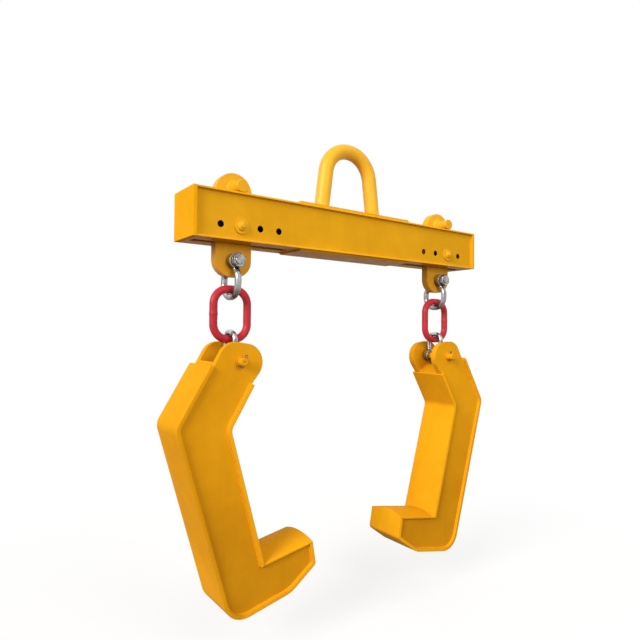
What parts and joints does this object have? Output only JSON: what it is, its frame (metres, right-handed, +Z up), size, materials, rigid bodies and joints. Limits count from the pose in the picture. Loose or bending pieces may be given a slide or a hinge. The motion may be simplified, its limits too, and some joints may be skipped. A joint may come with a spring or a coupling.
{
  "type": "coil lifter",
  "caption": "Spreader beam with a lifting bail and two hanging C-claws on shackles and links, whose crowned feet lift a steel coil by its bore.",
  "frame": {"origin": "inside of the bail's crown, where the crane hook carries the lifter", "axes": "+X along the beam to the right, +Y to the rear, +Z up; the front, -Y, shows the heads of the lock bolts and the split pins"},
  "size_m": [2.687, 0.38, 3.1145],
  "materials": {
    "beam_yellow": "gloss yellow enamel on welded plate",
    "hanger_yellow": "gloss yellow enamel, worn at the pins",
    "claw_yellow": "gloss yellow enamel with light dust",
    "red_paint": "red enamel on forged bar",
    "galvanised_steel": "bright galvanised",
    "bare_steel": "zinc-plated wire"
  },
  "bodies": {
    "beam": {"beam_bottom_flange": "beam_yellow", "beam_front_web": "beam_yellow", "beam_rear_web": "beam_yellow", "beam_top_flange": "beam_yellow", "bottom_doubler": "beam_yellow", "cross_pin_left": "hanger_yellow", "cross_pin_right": "hanger_yellow", "diaphragm_left_inner": "beam_yellow", "diaphragm_left_outer": "beam_yellow", "diaphragm_right_inner": "beam_yellow", "diaphragm_right_outer": "beam_yellow", "end_plate_left": "beam_yellow", "end_plate_right": "beam_yellow", "hanger_plate_left": "hanger_yellow", "hanger_plate_right": "hanger_yellow", "lifting_bail": "beam_yellow", "lock_bolt_left": "hanger_yellow", "lock_bolt_right": "hanger_yellow", "lock_nut_left": "hanger_yellow", "lock_nut_right": "hanger_yellow", "lock_washer_front_left": "hanger_yellow", "lock_washer_front_right": "hanger_yellow", "lock_washer_rear_left": "hanger_yellow", "lock_washer_rear_right": "hanger_yellow", "top_doubler": "beam_yellow"},
    "upper_shackle_left": {"upper_shackle_bow_left": "galvanised_steel", "upper_shackle_nut_left": "galvanised_steel", "upper_shackle_pin_left": "galvanised_steel"},
    "link_left": {"oblong_link_left": "red_paint"},
    "lower_shackle_left": {"lower_shackle_bow_left": "galvanised_steel"},
    "claw_left": {"claw_closing_plate_left": "claw_yellow", "claw_foot_pad_left": "claw_yellow", "claw_front_plate_left": "claw_yellow", "claw_inner_flange_left": "claw_yellow", "claw_outer_flange_left": "claw_yellow", "claw_pin_left": "claw_yellow", "claw_rear_plate_left": "claw_yellow", "claw_sole_plate_left": "claw_yellow", "claw_washer_left": "claw_yellow", "split_pin_left": "bare_steel"},
    "upper_shackle_right": {"upper_shackle_bow_right": "galvanised_steel", "upper_shackle_nut_right": "galvanised_steel", "upper_shackle_pin_right": "galvanised_steel"},
    "link_right": {"oblong_link_right": "red_paint"},
    "lower_shackle_right": {"lower_shackle_bow_right": "galvanised_steel"},
    "claw_right": {"claw_closing_plate_right": "claw_yellow", "claw_foot_pad_right": "claw_yellow", "claw_front_plate_right": "claw_yellow", "claw_inner_flange_right": "claw_yellow", "claw_outer_flange_right": "claw_yellow", "claw_pin_right": "claw_yellow", "claw_rear_plate_right": "claw_yellow", "claw_sole_plate_right": "claw_yellow", "claw_washer_right": "claw_yellow", "split_pin_right": "bare_steel"}
  },
  "joints": [
    {"name": "upper_shackle_swing_left", "type": "hinge", "parent": "beam", "child": "upper_shackle_left", "pos_m": [-0.94, 0, -0.835], "axis": [0, 1, 0], "range_deg": [-30, 60]},
    {"name": "link_swing_left", "type": "hinge", "parent": "upper_shackle_left", "child": "link_left", "pos_m": [-0.94, 0, -1.009], "axis": [1, 0, 0], "range_deg": [-45, 45]},
    {"name": "lower_shackle_swing_left", "type": "hinge", "parent": "link_left", "child": "lower_shackle_left", "pos_m": [-0.94, 0, -1.323], "axis": [1, 0, 0], "range_deg": [-45, 45]},
    {"name": "claw_swing_left", "type": "hinge", "parent": "lower_shackle_left", "child": "claw_left", "pos_m": [-0.94, 0, -1.458], "axis": [0, 1, 0], "range_deg": [-40, 40]},
    {"name": "upper_shackle_swing_right", "type": "hinge", "parent": "beam", "child": "upper_shackle_right", "pos_m": [0.94, 0, -0.835], "axis": [0, 1, 0], "range_deg": [-60, 30]},
    {"name": "link_swing_right", "type": "hinge", "parent": "upper_shackle_right", "child": "link_right", "pos_m": [0.94, 0, -1.009], "axis": [1, 0, 0], "range_deg": [-45, 45]},
    {"name": "lower_shackle_swing_right", "type": "hinge", "parent": "link_right", "child": "lower_shackle_right", "pos_m": [0.94, 0, -1.323], "axis": [1, 0, 0], "range_deg": [-45, 45]},
    {"name": "claw_swing_right", "type": "hinge", "parent": "lower_shackle_right", "child": "claw_right", "pos_m": [0.94, 0, -1.458], "axis": [0, 1, 0], "range_deg": [-40, 40]}
  ]
}
